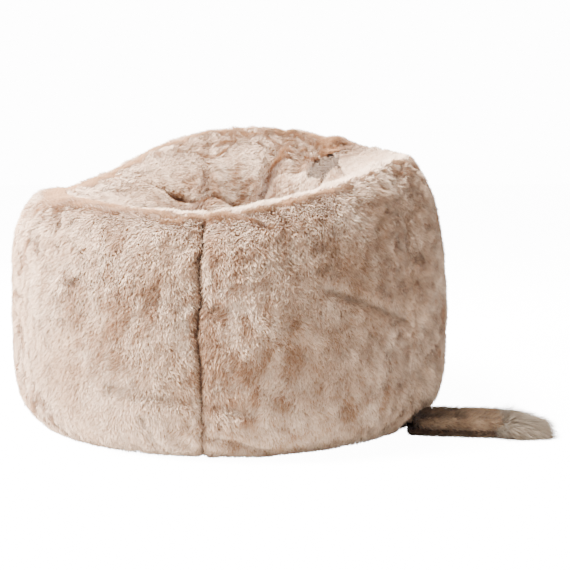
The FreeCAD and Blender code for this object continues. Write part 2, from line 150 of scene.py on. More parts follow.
@dataclass(frozen=True)
class BagOutline:
    """The bag's outer form, the same one that the CAD cover panels follow."""

    body_radius: float = 0.502
    base_radius: float = 0.432
    crest_radius: float = 0.400
    widest_height: float = 0.165
    front_rim: float = 0.500
    rear_rim: float = 0.674
    right_rim: float = 0.610
    left_rim: float = 0.516
    rear_peak: float = 0.020
    seat_depth: float = 0.172
    crown: tuple[float, float] = (0.238, 0.165)
    crown_radius: float = 0.045
    foot_squareness: float = 3.0
    right_squareness: float = 2.0
    left_squareness: float = 3.4
    hem_lift: float = 0.0015
    gores: int = 6
    first_seam: float = math.radians(-97)

    def rim_height(self, turn: Array, share: Array) -> Array:
        """Height of the rim surface at an azimuth, from the middle (share 0) to the crest (share 1)."""
        middle = (self.front_rim + self.rear_rim + self.left_rim + self.right_rim) / 4
        across = (self.right_rim - self.left_rim) / 2
        along = (self.rear_rim - self.front_rim) / 2 - self.rear_peak
        saddle = (self.right_rim + self.left_rim - self.front_rim - self.rear_rim) / 4
        peak = self.rear_peak * np.cos(3 * (turn - math.pi / 2))
        tilt = across * np.cos(turn) + along * np.sin(turn)
        return middle + share * tilt + share**2 * saddle * np.cos(2 * turn) + share**3 * peak

    def seat_height(self, x: Array, y: Array) -> Array:
        """Height of the dished seat at a place in plan."""
        share = np.hypot(x, y) / self.crest_radius
        dish = self.seat_depth * np.maximum(0.0, 1 - share**2) ** 1.5
        return self.rim_height(np.arctan2(y, x), share) - dish

    def points(self, turn: Array, station: Array) -> Array:
        """Places on the outline.

        Args:
            turn: azimuths in radians, from +X towards +Y.
            station: 0 at the hem, 1 at the widest ring, 2 at the crest, 3 at the crown.

        Returns:
            (n, 3) places in metres.
        """
        cos, sin = np.cos(turn), np.sin(turn)
        lower = np.clip(station, 0, 1) * math.pi / 2
        foot = 2 / self.foot_squareness
        out = np.abs(np.sin(lower)) ** foot
        back = np.abs(np.cos(lower)) ** foot
        reach = self.base_radius + (self.body_radius - self.base_radius) * out
        height = self.hem_lift + self.widest_height * (1 - back)
        spread = (self.left_squareness + self.right_squareness) / 2
        power = 2 / (spread + (self.right_squareness - self.left_squareness) / 2 * cos)
        upper = np.clip(station - 1, 0, 1) * math.pi / 2
        inward = np.abs(np.cos(upper)) ** power
        rise = np.abs(np.sin(upper)) ** power
        low = self.widest_height + self.hem_lift
        above = station > 1
        reach = np.where(above, self.crest_radius + (self.body_radius - self.crest_radius) * inward, reach)
        height = np.where(above, low + (self.rim_height(turn, np.ones_like(turn)) - low) * rise, height)
        x, y = cos * reach, sin * reach
        share = np.clip(station - 2, 0, 1)
        seat_x = cos * self.crest_radius * (1 - share) + (self.crown[0] + cos * self.crown_radius) * share
        seat_y = sin * self.crest_radius * (1 - share) + (self.crown[1] + sin * self.crown_radius) * share
        seat = station > 2
        x, y = np.where(seat, seat_x, x), np.where(seat, seat_y, y)
        height = np.where(seat, self.seat_height(x, y), height)
        return np.stack([x, y, height], axis=1)

    def seam_offset(self, turn: Array) -> Array:
        """Signed angle to the nearest seam, in radians."""
        pitch = 2 * math.pi / self.gores
        return (turn - self.first_seam + pitch / 2) % pitch - pitch / 2

    def seam_distance(self, turn: Array, station: Array) -> Array:
        """Distance along the surface to the nearest seam, in metres."""
        share = np.clip(station - 2, 0, 1)
        seat_reach = self.crest_radius * (1 - share) + self.crown_radius * share
        reach = np.where(station > 2, seat_reach, self.body_radius)
        return np.abs(self.seam_offset(turn)) * reach


# ---- marks pressed into the form, with the painted shade in them, and brown spots


@dataclass(frozen=True)
class Lump:
    """A rounded hollow (negative height) or swelling, placed in plan on the seat; a hollow also gets painted
    shade.
    """

    x: float
    y: float
    length: float
    width: float
    turn: float
    height: float

    def rise(self, points: Array) -> Array:
        """How far each point moves outwards, in metres."""
        cos, sin = math.cos(math.radians(self.turn)), math.sin(math.radians(self.turn))
        dx, dy = points[:, 0] - self.x, points[:, 1] - self.y
        along, across = dx * cos + dy * sin, dy * cos - dx * sin
        return self.height * np.exp(-((along / self.length) ** 2) - (across / self.width) ** 2)

    def painted_shade(self, points: Array) -> Array:
        """How much painted shade each point gets in a hollow, 0 to 1, growing with the hollow's depth."""
        return np.clip(-self.rise(points) / FULL_SHADE_DEPTH, 0, 1)


@dataclass(frozen=True)
class Crease:
    """A fold line pressed into the skin, with a soft shoulder on both sides and painted shade along it."""

    path: tuple[tuple[float, float, float], ...]
    width: float
    depth: float
    # strength of the painted shade along the fold
    shade: float = 0.6

    def distance(self, points: Array) -> Array:
        """Distance of each point to the line."""
        nearest = np.full(len(points), 1e9)
        for start, end in zip(self.path[:-1], self.path[1:]):
            a, b = np.array(start), np.array(end)
            run = b - a
            share = np.clip((points - a) @ run / (run @ run), 0, 1)
            nearest = np.minimum(nearest, np.linalg.norm(points - (a + share[:, None] * run), axis=1))
        return nearest

    def rise(self, points: Array) -> Array:
        """How far each point moves outwards, in metres."""
        away = self.distance(points) / self.width
        return self.depth * (0.35 * np.exp(-((away - 2.1) ** 2)) - np.exp(-(away**2)))

    def painted_shade(self, points: Array) -> Array:
        """How much painted shade each point gets near the fold line, 0 to 1."""
        return self.shade * np.exp(-((self.distance(points) / (0.8 * self.width)) ** 2))


# Negative heights are hollows, and each hollow also gets painted shade.
SEAT_LUMPS = (
    Lump(-0.120, 0.205, 0.062, 0.040, 20, -0.046),
    Lump(-0.048, 0.250, 0.024, 0.048, 0, 0.026),
    Lump(0.040, 0.212, 0.056, 0.052, 20, -0.068),
    Lump(0.030, 0.320, 0.080, 0.035, 0, 0.014),
    Lump(-0.150, 0.290, 0.070, 0.030, 150, 0.012),
    Lump(0.138, 0.205, 0.026, 0.075, -10, 0.040),
    Lump(0.190, 0.130, 0.045, 0.050, 0, 0.022),
    Lump(0.245, 0.170, 0.050, 0.050, 0, 0.020),
    Lump(0.300, 0.270, 0.060, 0.045, 40, 0.014),
    Lump(-0.040, 0.110, 0.150, 0.055, 0, -0.034),
    Lump(0.180, -0.080, 0.110, 0.080, 60, 0.014),
    Lump(-0.180, 0.020, 0.120, 0.080, 100, 0.012),
)

# The last number of each crease is the strength of the painted shade along it.
CREASES = (
    Crease(((0.080, 0.285, 0.588), (0.107, 0.222, 0.545), (0.104, 0.165, 0.505)), 0.010, 0.014, 0.9),
    Crease(((0.075, 0.340, 0.632), (0.115, 0.290, 0.606), (0.160, 0.236, 0.575)), 0.009, 0.009, 0.7),
    Crease(((0.181, 0.345, 0.660), (0.212, 0.292, 0.634), (0.236, 0.205, 0.590)), 0.009, 0.012, 0.9),
    Crease(((0.362, 0.170, 0.620), (0.300, 0.186, 0.606), (0.250, 0.180, 0.585)), 0.009, 0.012, 0.9),
    Crease(((-0.088, 0.330, 0.610), (-0.048, 0.306, 0.592), (-0.012, 0.326, 0.612)), 0.008, 0.008, 0.6),
    Crease(((0.036, -0.432, 0.499), (0.056, -0.449, 0.482), (0.082, -0.456, 0.469)), 0.007, 0.006, 0.4),
    Crease(((0.082, -0.456, 0.469), (0.103, -0.448, 0.478), (0.118, -0.430, 0.498)), 0.007, 0.006, 0.4),
    Crease(((0.195, -0.456, 0.343), (0.285, -0.408, 0.307), (0.385, -0.322, 0.260)), 0.011, 0.006, 0.4),
    Crease(((-0.235, -0.444, 0.148), (-0.078, -0.495, 0.124), (0.045, -0.500, 0.107)), 0.012, 0.007, 0.4),
    Crease(((-0.175, -0.468, 0.092), (-0.150, -0.463, 0.030)), 0.009, 0.006, 0.5),
    Crease(((-0.056, -0.490, 0.058), (0.010, -0.487, 0.042), (0.070, -0.468, 0.017)), 0.010, 0.010, 0.9),
    Crease(((0.305, -0.300, 0.572), (0.325, -0.268, 0.578), (0.330, -0.230, 0.590)), 0.008, 0.006, 0.5),
    Crease(((0.345, -0.282, 0.560), (0.368, -0.240, 0.566), (0.372, -0.200, 0.575)), 0.008, 0.006, 0.5),
    Crease(((0.422, -0.270, 0.100), (0.405, -0.284, 0.055)), 0.008, 0.005, 0.4),
)


@dataclass(frozen=True)
class MottleAndShadeSpot:
    """A place where the pile turns brown: some spots are the fur's own brown tips, some are painted shade.
    """

    at: tuple[float, float, float]
    reach: float
    strength: float

    def amount(self, points: Array) -> Array:
        """How brown each point is, before the noise breaks it up."""
        away = np.linalg.norm(points - np.array(self.at), axis=1) / self.reach
        return self.strength * np.exp(-(away**2))


# Brown spots; those marked painted shade stand in for shade, the rest are the fur's own brown tips.
MOTTLE_AND_SHADE_SPOTS = (
    MottleAndShadeSpot((0.02, -0.46, 0.465), 0.10, 0.9),
    MottleAndShadeSpot((0.17, -0.44, 0.460), 0.10, 0.8),
    MottleAndShadeSpot((-0.30, -0.38, 0.420), 0.14, 0.8),
    MottleAndShadeSpot((-0.20, -0.45, 0.340), 0.13, 0.9),
    MottleAndShadeSpot((-0.28, -0.42, 0.250), 0.12, 0.6),
    MottleAndShadeSpot((-0.08, -0.49, 0.280), 0.08, 0.6),
    MottleAndShadeSpot((0.33, -0.36, 0.380), 0.16, 0.5),
    # painted shade: the shaded middle and low front, right of the front seam
    MottleAndShadeSpot((0.00, -0.50, 0.260), 0.13, 1.1),
    MottleAndShadeSpot((0.05, -0.49, 0.110), 0.12, 1.0),
    MottleAndShadeSpot((0.16, 0.18, 0.550), 0.12, 0.7),
    # painted shade in the two seat hollows
    MottleAndShadeSpot((0.04, 0.22, 0.480), 0.11, 1.5),
    MottleAndShadeSpot((-0.12, 0.21, 0.480), 0.10, 1.5),
    MottleAndShadeSpot((0.30, 0.30, 0.600), 0.12, 0.5),
    # painted shade, low on the right side
    MottleAndShadeSpot((0.28, -0.41, 0.130), 0.14, 0.8),
    # painted shade in the V-notch by the crown
    MottleAndShadeSpot((0.24, 0.17, 0.560), 0.07, 1.2),
    MottleAndShadeSpot((0.00, 0.36, 0.640), 0.14, 0.4),
)


# ---- mesh helpers


def read(items: object, name: str, width: int = 1) -> Array:
    """Read one number, or a row of `width` numbers, off each mesh item."""
    found = np.zeros(len(items) * width, np.float32)
    items.foreach_get(name, found)
    return found.astype(float) if width == 1 else found.reshape(-1, width).astype(float)


def values(mesh: Mesh, name: str) -> Array:
    """Read a float attribute of the points."""
    return read(mesh.attributes[name].data, "value")


def places(mesh: Mesh) -> Array:
    """Read the vertex places as (n, 3)."""
    return read(mesh.vertices, "co", 3)


def place(mesh: Mesh, points: Array) -> None:
    """Write the vertex places."""
    mesh.vertices.foreach_set("co", points.astype(np.float32).ravel())
    mesh.update()


def keep(mesh: Mesh, **fields: Array) -> None:
    """Write float attributes, or vector ones where a field is (n, 3), by name."""
    for name, found in fields.items():
        vector = found.ndim == 2
        layer = mesh.attributes.get(name)
        if layer is None:
            layer = mesh.attributes.new(name, "FLOAT_VECTOR" if vector else "FLOAT", "POINT")
        layer.data.foreach_set("vector" if vector else "value", found.astype(np.float32).ravel())


def unit(vectors: Array) -> Array:
    """Scale each row to length 1."""
    return vectors / np.maximum(np.linalg.norm(vectors, axis=1, keepdims=True), 1e-9)


def read_vectors(mesh: Mesh, name: str) -> Array:
    """Read a vector attribute as unit vectors."""
    return unit(read(mesh.attributes[name].data, "vector", 3))


def normals(mesh: Mesh) -> Array:
    """Vertex normals as (n, 3)."""
    return read(mesh.vertex_normals, "vector", 3)


def shade_smooth(mesh: Mesh) -> None:
    """Shade every face smoothly."""
    mesh.polygons.foreach_set("use_smooth", [True] * len(mesh.polygons))


def as_mesh(form: bmesh.types.BMesh, name: str) -> Mesh:
    """Turn an edited form into a new mesh, and free the form."""
    mesh = bpy.data.meshes.new(name)
    form.to_mesh(mesh)
    form.free()
    return mesh


def add_object(name: str, mesh: Mesh) -> Object:
    """Link a mesh into the scene as an object."""
    made = bpy.data.objects.new(name, mesh)
    bpy.context.scene.collection.objects.link(made)
    return made


def settled(obj: Object) -> Object:
    """Apply an object's modifiers to its mesh."""
    depsgraph = bpy.context.evaluated_depsgraph_get()
    mesh = bpy.data.meshes.new_from_object(
        obj.evaluated_get(depsgraph), preserve_all_data_layers=True, depsgraph=depsgraph
    )
    old = obj.data
    obj.modifiers.clear()
    obj.data = mesh
    bpy.data.meshes.remove(old)
    mesh.name = obj.name
    return obj


def subdivided(obj: Object, levels: int) -> Object:
    """Subdivide an object's mesh smoothly and apply it."""
    step = obj.modifiers.new("smooth", "SUBSURF")
    step.levels = step.render_levels = levels
    return settled(obj)


# ---- body skin


@dataclass(frozen=True)
class ClothRun:
    """One cloth simulation of a stuffed cover held along its seams."""

    pressure: float = 2.0
    oversize: float = 0.022
    frames: int = 20
    cap: float = 0.014
    panel_hold: float = 0.06
    seat_hold: float = 0.30

    def settle(self, shell: Object, hold: Array) -> Array:
        """Run the simulation on a copy of the shell.

        Args:
            shell: the closed cover, at rest.
            hold: how firmly each vertex stays where it is, 0 to 1.

        Returns:
            The displaced vertex places, each at most `cap` from its start.
        """
        work = add_object("cloth_work", shell.data.copy())
        group = work.vertex_groups.new(name="hold")
        for index, weight in enumerate(hold):
            group.add([index], float(weight), "REPLACE")
        cloth = work.modifiers.new("cloth", "CLOTH")
        settings = {
            "quality": 5,
            "mass": 0.25,
            "tension_stiffness": 20,
            "compression_stiffness": 20,
            "shear_stiffness": 8,
            "bending_stiffness": 0.35,
            "air_damping": 4,
            "use_pressure": True,
            "uniform_pressure_force": self.pressure,
            "shrink_min": -self.oversize,
            "vertex_group_mass": group.name,
            "pin_stiffness": 1.0,
        }
        for name, value in settings.items():
            setattr(cloth.settings, name, value)
        cloth.settings.effector_weights.gravity = 0
        cloth.collision_settings.use_collision = False
        cloth.collision_settings.use_self_collision = False
        scene = bpy.context.scene
        for frame in range(1, self.frames + 1):
            scene.frame_set(frame)
        depsgraph = bpy.context.evaluated_depsgraph_get()
        moved = places(work.evaluated_get(depsgraph).data)
        scene.frame_set(1)
        start = places(shell.data)
        shift = moved - start
        length = np.linalg.norm(shift, axis=1, keepdims=True)
        capped = self.cap * np.tanh(length / self.cap) / np.maximum(length, 1e-9)
        bpy.data.objects.remove(work)
        LOG.info("cloth moved the cover by up to %.1f mm", 1000 * float(length.max()))
        return start + shift * capped


@dataclass(frozen=True)
class SkinSize:
    """How the cover's skin is meshed and sunk under the pile."""

    columns: int = 240
    rows: int = 84
    skin_depth: float = 0.012
    seam_depth: float = 0.009
    seam_width: float = 0.0075
    seam_wobble: float = 0.011
    seam_crowding: float = 0.085
    lump: float = 0.007
    puff: float = 0.006
    pucker: float = 0.0045
    dimple: float = 0.0025


class BodySkin:
    """The six gores' skin, simulated as one closed cover and then cut along its seams."""

    NAMES = ("front_right", "right", "rear_right", "rear_left", "left", "front_left")

    def __init__(self, outline: BagOutline, size: SkinSize, run: ClothRun) -> None:
        self.outline = outline
        self.size = size
        self.run = run

    def shell(self) -> Object:
        """Build the closed cover from one grid wrapped round the outline.

        Returns:
            The cover, with `turn` and `station` on its points and `gore` on its faces.
        """
        outline, size = self.outline, self.size
        grid = bmesh.new()
        bmesh.ops.create_grid(grid, x_segments=size.columns, y_segments=size.rows, size=0.5)
        mesh = as_mesh(grid, "cover")
        flat = places(mesh)
        around = (flat[:, 0] - flat[:, 0].min()) / np.ptp(flat[:, 0])
        up = (flat[:, 1] - flat[:, 1].min()) / np.ptp(flat[:, 1])
        in_gore = around * outline.gores
        crowded = in_gore - size.seam_crowding * np.sin(2 * math.pi * in_gore)
        turn = outline.first_seam + crowded * 2 * math.pi / outline.gores
        station = np.interp(up, [0, 0.19, 0.58, 1], [0, 1, 2, 3])
        gore = mesh.attributes.new("gore", "INT", "FACE")
        for face in mesh.polygons:
            middle = np.mean([around[i] for i in face.vertices])
            gore.data[face.index].value = int(middle * outline.gores)
        keep(mesh, turn=turn, station=station)
        place(mesh, outline.points(turn, station))
        cover = bmesh.new()
        cover.from_mesh(mesh)
        bmesh.ops.remove_doubles(cover, verts=cover.verts, dist=1e-5)
        edges = [e for e in cover.edges if e.is_boundary]
        bmesh.ops.holes_fill(cover, edges=edges, sides=0)
        bmesh.ops.recalc_face_normals(cover, faces=cover.faces)
        cover.to_mesh(mesh)
        cover.free()
        mesh.update()
        return add_object("cover_shell", mesh)

    def large_forms(self, cover: Object) -> None:
        """Sink the skin below the pile and press the hollows and swellings in."""
        mesh = cover.data
        points, out = places(mesh), normals(mesh)
        turn, station = values(mesh, "turn"), values(mesh, "station")
        seat = smooth(1.85, 2.15, station)
        rise = sum(lump.rise(points) for lump in SEAT_LUMPS) * seat
        rise += self.size.lump * grain(points, 0.16, 3.0) * smooth(0.1, 0.6, station)
        pitch = 2 * math.pi / self.outline.gores
        puff = np.cos(self.outline.seam_offset(turn) / pitch * math.pi * 2) * -0.5 + 0.5
        rise += self.size.puff * puff * smooth(0.3, 0.9, station) * (1 - 0.5 * seat)
        rise -= self.size.skin_depth * smooth(0.0, 0.35, station)
        rise *= 1 - smooth(2.93, 3.0, station) * 0.6
        place(mesh, points + out * rise[:, None])

    def hold(self, cover: Object) -> Array:
        """How firmly the seams, the foot and the seat hold the cloth."""
        mesh = cover.data
        turn, station = values(mesh, "turn"), values(mesh, "station")
        seam = np.exp(-((self.outline.seam_distance(turn, station) / 0.012) ** 2))
        foot = 1 - smooth(0.15, 0.45, station)
        crown = smooth(2.85, 2.95, station)
        seat = self.run.seat_hold * smooth(1.8, 2.2, station)
        return np.clip(np.maximum.reduce([seam, foot, crown, seat + self.run.panel_hold]), 0, 1)

    def build(self) -> Object:
        """Make the simulated cover.

        Returns:
            The closed cover, with the smooth outward direction on its points as `out`.
        """
        cover = self.shell()
        self.large_forms(cover)
        place(cover.data, self.run.settle(cover, self.hold(cover)))
        mesh = cover.data
        keep(mesh, out=normals(mesh))
        return cover

    def panel(self, cover: Object, index: int) -> Object:
        """Cut one gore out of the cover, smooth it and press its fine folds in.

        Args:
            cover: the simulated cover.
            index: which gore, 0 from the first seam.

        Returns:
            The gore's skin, with everything its pile needs on its points.
        """
        cut = bmesh.new()
        cut.from_mesh(cover.data)
        layer = cut.faces.layers.int["gore"]
        others = [f for f in cut.faces if f[layer] != index or len(f.verts) > 4]
        bmesh.ops.delete(cut, geom=others, context="FACES")
        name = "skin_" + self.NAMES[index]
        mesh = as_mesh(cut, name)
        start = self.outline.first_seam + index * 2 * math.pi / self.outline.gores
        turn = values(mesh, "turn")
        turn = np.where(turn < start - 0.02, turn + 2 * math.pi, turn)
        turn = np.where(turn > start + 2 * math.pi / self.outline.gores + 0.02, turn - 2 * math.pi, turn)
        keep(mesh, turn=turn)
        skin = subdivided(add_object(name, mesh), 1)
        self.fine_forms(skin)
        return skin

    def fine_forms(self, skin: Object) -> None:
        """Press the seam groove, puckers, creases and dimples in, and note the nap."""
        mesh, size, outline = skin.data, self.size, self.outline
        points, out = places(mesh), read_vectors(mesh, "out")
        turn, station = values(mesh, "turn"), values(mesh, "station")
        away = outline.seam_distance(turn, station)
        groove = np.exp(-((away / size.seam_width) ** 2)) * smooth(0.0, 0.25, station)
        pucker = grain(points * np.array([1, 1, 1.6]), 0.030, 9.0) * np.exp(-away / 0.035)
        rise = -size.seam_depth * groove + size.pucker * pucker * (1 - groove)
        for crease in CREASES:
            rise += crease.rise(points)
        rise += size.dimple * grain(points, 0.045, 5.0) * smooth(0.1, 0.5, station)
        down = unit(outline.points(turn, station - 0.03) - outline.points(turn, station + 0.001))
        side = np.cross(out, down)
        pitch = 2 * math.pi / outline.gores
        seam = np.round((turn - outline.first_seam) / pitch) % outline.gores
        wander = grain(np.stack([station, 0 * seam, 0.3 * seam], axis=1), 0.13, 2.0) * size.seam_wobble
        near = np.exp(-((away / 0.045) ** 2)) * smooth(0.2, 0.6, station) * (1 - smooth(2.7, 2.9, station))
        swing = wander * near
        place(mesh, points + out * rise[:, None] + side * swing[:, None])
        self.note_nap(mesh, down, out, groove)

    def note_nap(self, mesh: Mesh, down: Array, out: Array, groove: Array) -> None:
        """Write the pile's lie and length, its painted shade, its painted crest highlight and its brown
        spots on the skin's points.
        """
        points, station = places(mesh), values(mesh, "station")
        swirl = 0.8 * grain(points, 0.11, 7.0) + 1.1 * grain(points, 0.026, 8.0)
        swirl *= (1 - groove) * (1 - 0.5 * smooth(1.9, 2.2, station))
        swirl += math.pi * smooth(1.88, 2.08, station)
        down = unit(down - out * np.sum(down * out, axis=1, keepdims=True))
        side = np.cross(out, down)
        comb = unit(down * np.cos(swirl)[:, None] + side * np.sin(swirl)[:, None])
        keep(mesh, comb=comb)
        foot = 1 - smooth(0.1, 0.4, station)
        tuft = 1 + 0.35 * grain(points, 0.013, 11.0)
        keep(mesh, nap=(1 - 0.62 * groove - 0.35 * foot) * tuft)
        # Painted shade: the seam grooves, the foot near the floor, the creases and the seat's hollows are
        # painted towards the shade colour.
        crease = 0.8 * groove**2 + 0.35 * foot
        for fold in CREASES:
            crease = np.maximum(crease, fold.painted_shade(points))
        seat = smooth(1.85, 2.15, station)
        for lump in SEAT_LUMPS:
            crease = np.maximum(crease, lump.painted_shade(points) * seat)
        keep(mesh, crease=crease)
        # Painted highlight: a band along the crest is painted paler, with lighter roots.
        keep(mesh, parting=np.exp(-(((station - 1.97) / 0.16) ** 2)))
        # Brown spots: the fur's own brown tips, plus painted shade where a spot marks a hollow or a shaded
        # side.
        brown = 0.22 + sum(mottle.amount(points) for mottle in MOTTLE_AND_SHADE_SPOTS)
        streaky = points * np.array([1.0, 1.0, 0.55])
        broken = 0.35 + 0.8 * grain(streaky, 0.060, 1.0) + 0.8 * grain(streaky, 0.020, 4.0)
        keep(mesh, mottle=np.clip(brown * broken, 0, 1))
        shade_smooth(mesh)


# ---- nodes


class Nodes:
    """Small helper for laying nodes in a tree."""

    def __init__(self, tree: NodeTree) -> None:
        self.tree = tree

    def add(self, kind: str, inputs: dict | None = None, **settings: object) -> Node:
        """Add a node.

        Args:
            kind: the node's type.
            inputs: what each input takes, by name or number: an output to link, or a value.
            settings: the node's own properties.

        Returns:
            The node.
        """
        made = self.tree.nodes.new(kind)
        for key, value in settings.items():
            setattr(made, key, value)
        for key, value in (inputs or {}).items():
            self.feed(made.inputs[key], value)
        return made

    def feed(self, socket: NodeSocket, value: object) -> None:
        """Link an output into a socket, or set its value."""
        if isinstance(value, NodeSocket):
            self.tree.links.new(value, socket)
        else:
            socket.default_value = value

    def maths(self, operation: str, *inputs: object) -> NodeSocket:
        """One math node's output."""
        return self.add("ShaderNodeMath", dict(enumerate(inputs)), operation=operation).outputs[0]

    def mix(self, factor: object, a: object, b: object) -> NodeSocket:
        """Mix two colours."""
        return self.add("ShaderNodeMix", {0: factor, 6: a, 7: b}, data_type="RGBA").outputs[2]

    def noise(self, place_of: object, scale: float, detail: float = 3.0) -> NodeSocket:
        """A noise field's value."""
        inputs = {"Vector": place_of, "Scale": scale, "Detail": detail}
        return self.add("ShaderNodeTexNoise", inputs).outputs["Fac"]

    def attribute(self, name: str) -> NodeSocket:
        """A float attribute of the mesh."""
        return self.add("ShaderNodeAttribute", attribute_name=name).outputs["Fac"]

    def ramp(self, value: object, low: float, high: float) -> NodeSocket:
        """Map low..high to 0..1, clamped and smooth."""
        inputs = {"Value": value, "From Min": low, "From Max": high}
        return self.add("ShaderNodeMapRange", inputs, interpolation_type="SMOOTHSTEP").outputs["Result"]


# ---- pile


@dataclass(frozen=True)
class Pile:
    """A kind of fur: its blades and how thickly they stand."""

    name: str
    length: float = 0.013
    width: float = 0.0031
    lean: float = 0.62
    spread: float = 0.45
    shortest: float = 0.70
    longest: float = 1.15

    def blade(self) -> Object:
        """One tapering, leaning blade, three triangles, standing on the origin.

        Returns:
            The blade's object, used only to be scattered.
        """
        strip = bmesh.new()
        uv = strip.loops.layers.uv.new("strand")
        bmesh.ops.create_grid(strip, x_segments=1, y_segments=2, size=0.5, calc_uvs=True)
        tip = strip.verts.layers.float.new("tip")
        top = max(v.co.y for v in strip.verts)
        low = min(v.co.y for v in strip.verts)
        for vert in strip.verts:
            up = (vert.co.y - low) / (top - low)
            side = vert.co.x * self.width * (1 - 0.2 * up if up < 0.9 else 0.0)
            vert[tip] = up
            reach = self.length * self.lean * up**1.6
            vert.co = (reach, side, self.length * up * (1 - 0.35 * self.lean * up))
        bmesh.ops.remove_doubles(strip, verts=strip.verts, dist=1e-6)
        bmesh.ops.triangulate(strip, faces=strip.faces)
        for face in strip.faces:
            for loop in face.loops:
                loop[uv].uv.y = loop.vert[tip]
        mesh = as_mesh(strip, "blade_" + self.name)
        shade_smooth(mesh)
        return add_object(mesh.name, mesh)


